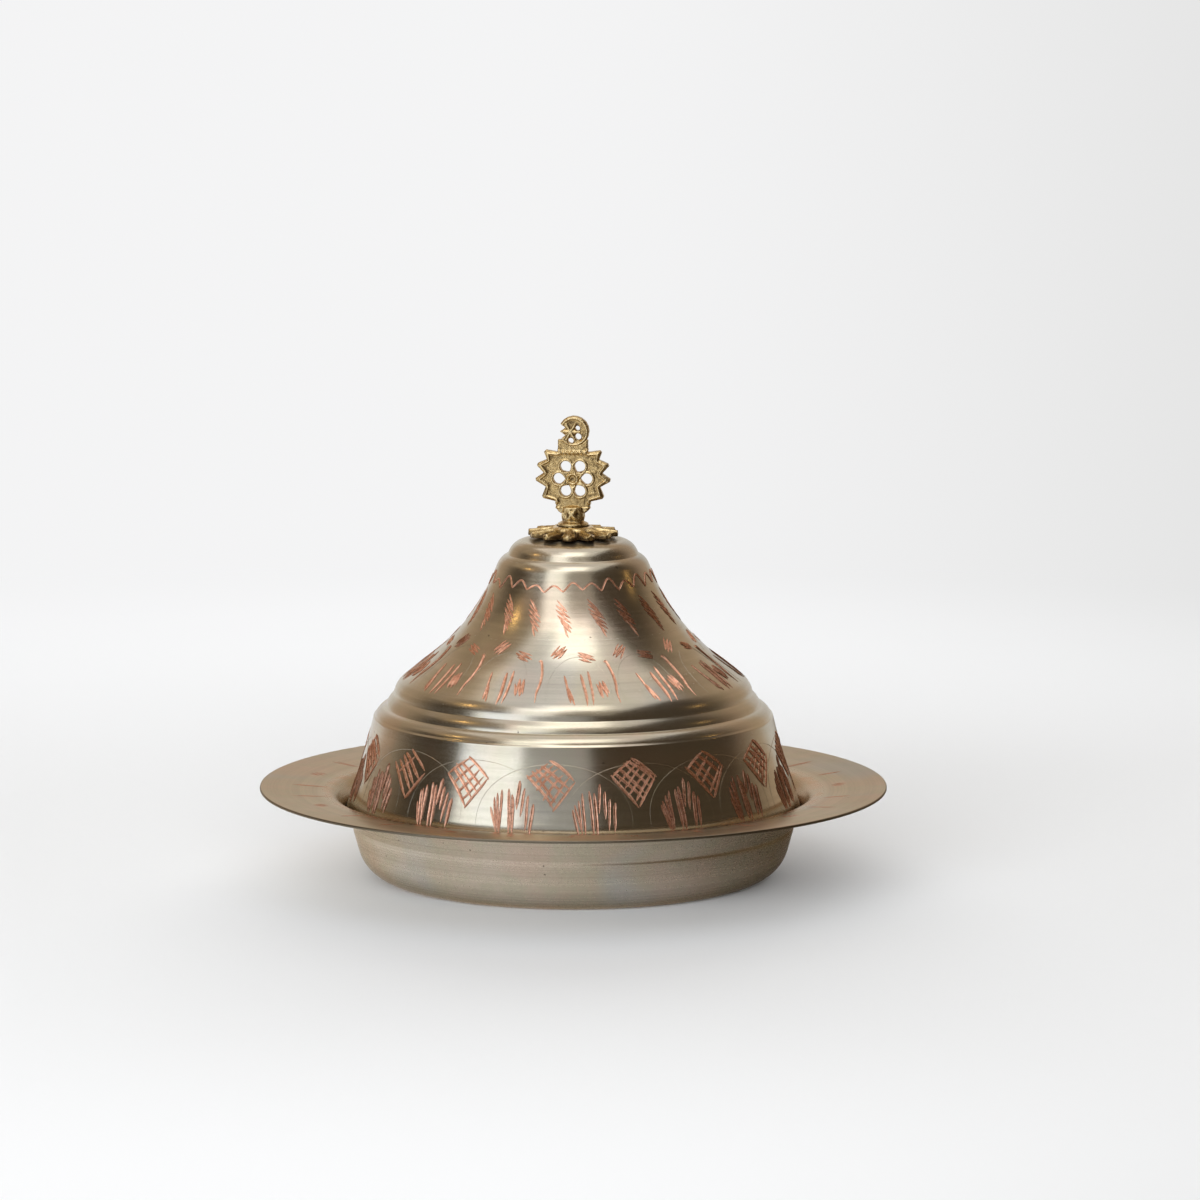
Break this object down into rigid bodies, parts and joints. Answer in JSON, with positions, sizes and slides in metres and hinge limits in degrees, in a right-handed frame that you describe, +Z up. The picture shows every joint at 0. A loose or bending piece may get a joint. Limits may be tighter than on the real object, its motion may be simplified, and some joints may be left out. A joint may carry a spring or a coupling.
{
  "type": "lidded serving dish",
  "caption": "Round spun serving dish with a flat flange and a tall ogee lid that rests in its neck, topped by an openwork cast finial on a rayed rosette.",
  "frame": {"origin": "on the table under the middle of the dish's flat base", "axes": "+Z up along the turning axis, +X to the right as seen from the front, and the front of the finial towards -Y"},
  "size_m": [0.2, 0.2, 0.1476],
  "materials": {
    "tinned_copper": "hand-tinned copper, spun and worn, warm grey with fine turning lines",
    "cast_brass": "rough cast brass, worn bright on the high spots",
    "plain_steel": "plain turned steel"
  },
  "bodies": {
    "dish": {"dish": "tinned_copper"},
    "lid": {"lid_shell": "tinned_copper", "rosette": "cast_brass", "finial": "cast_brass", "finial_stud": "plain_steel", "inner_washer": "plain_steel", "clamping_nut": "plain_steel"}
  },
  "joints": [
    {"name": "lid_lift", "type": "slide", "parent": "dish", "child": "lid", "axis": [0, 0, 1], "range_m": [0, 0.12]}
  ]
}
